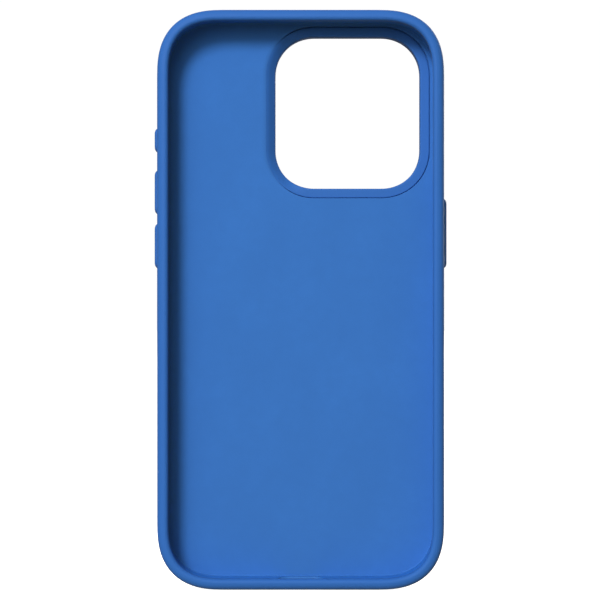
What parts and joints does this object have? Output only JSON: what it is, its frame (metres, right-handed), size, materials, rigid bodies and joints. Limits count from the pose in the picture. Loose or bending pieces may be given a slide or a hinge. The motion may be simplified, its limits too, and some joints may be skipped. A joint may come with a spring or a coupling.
{
  "type": "phone case",
  "caption": "Soft silicone phone case with a hard core, fabric lining, camera window, raised bezel, bottom port openings and pressable side button covers.",
  "frame": {"origin": "under the middle of the bottom edge that the case stands on, halfway between the lip's rim and the camera bezel's face", "axes": "+Z towards the top end of the phone, +X towards the long side button, -Y out of the open side"},
  "size_m": [0.0764, 0.0138, 0.1506],
  "materials": {
    "soft_silicone": "matte, soft-touch",
    "polycarbonate": "satin moulded",
    "microfibre": "fine brushed nap",
    "adhesive_film": "milky film",
    "button_silicone": "matte, soft-touch",
    "button_key": "satin moulded"
  },
  "bodies": {
    "case": {"outer_skin": "soft_silicone", "inner_core": "polycarbonate", "lining": "microfibre", "lining_adhesive": "adhesive_film"},
    "action_button": {"action_button_cap": "button_silicone", "action_button_key": "button_key"},
    "volume_up_button": {"volume_up_button_cap": "button_silicone", "volume_up_button_key": "button_key"},
    "volume_down_button": {"volume_down_button_cap": "button_silicone", "volume_down_button_key": "button_key"},
    "side_button": {"side_button_cap": "button_silicone", "side_button_key": "button_key"}
  },
  "joints": [
    {"name": "action_button_press", "type": "slide", "parent": "case", "child": "action_button", "axis": [1, 0, 0], "range_m": [0, 0.0004], "stiffness_N_per_m": 3000},
    {"name": "volume_up_button_press", "type": "slide", "parent": "case", "child": "volume_up_button", "axis": [1, 0, 0], "range_m": [0, 0.0004], "stiffness_N_per_m": 3000},
    {"name": "volume_down_button_press", "type": "slide", "parent": "case", "child": "volume_down_button", "axis": [1, 0, 0], "range_m": [0, 0.0004], "stiffness_N_per_m": 3000},
    {"name": "side_button_press", "type": "slide", "parent": "case", "child": "side_button", "axis": [-1, 0, 0], "range_m": [0, 0.0004], "stiffness_N_per_m": 3000}
  ]
}
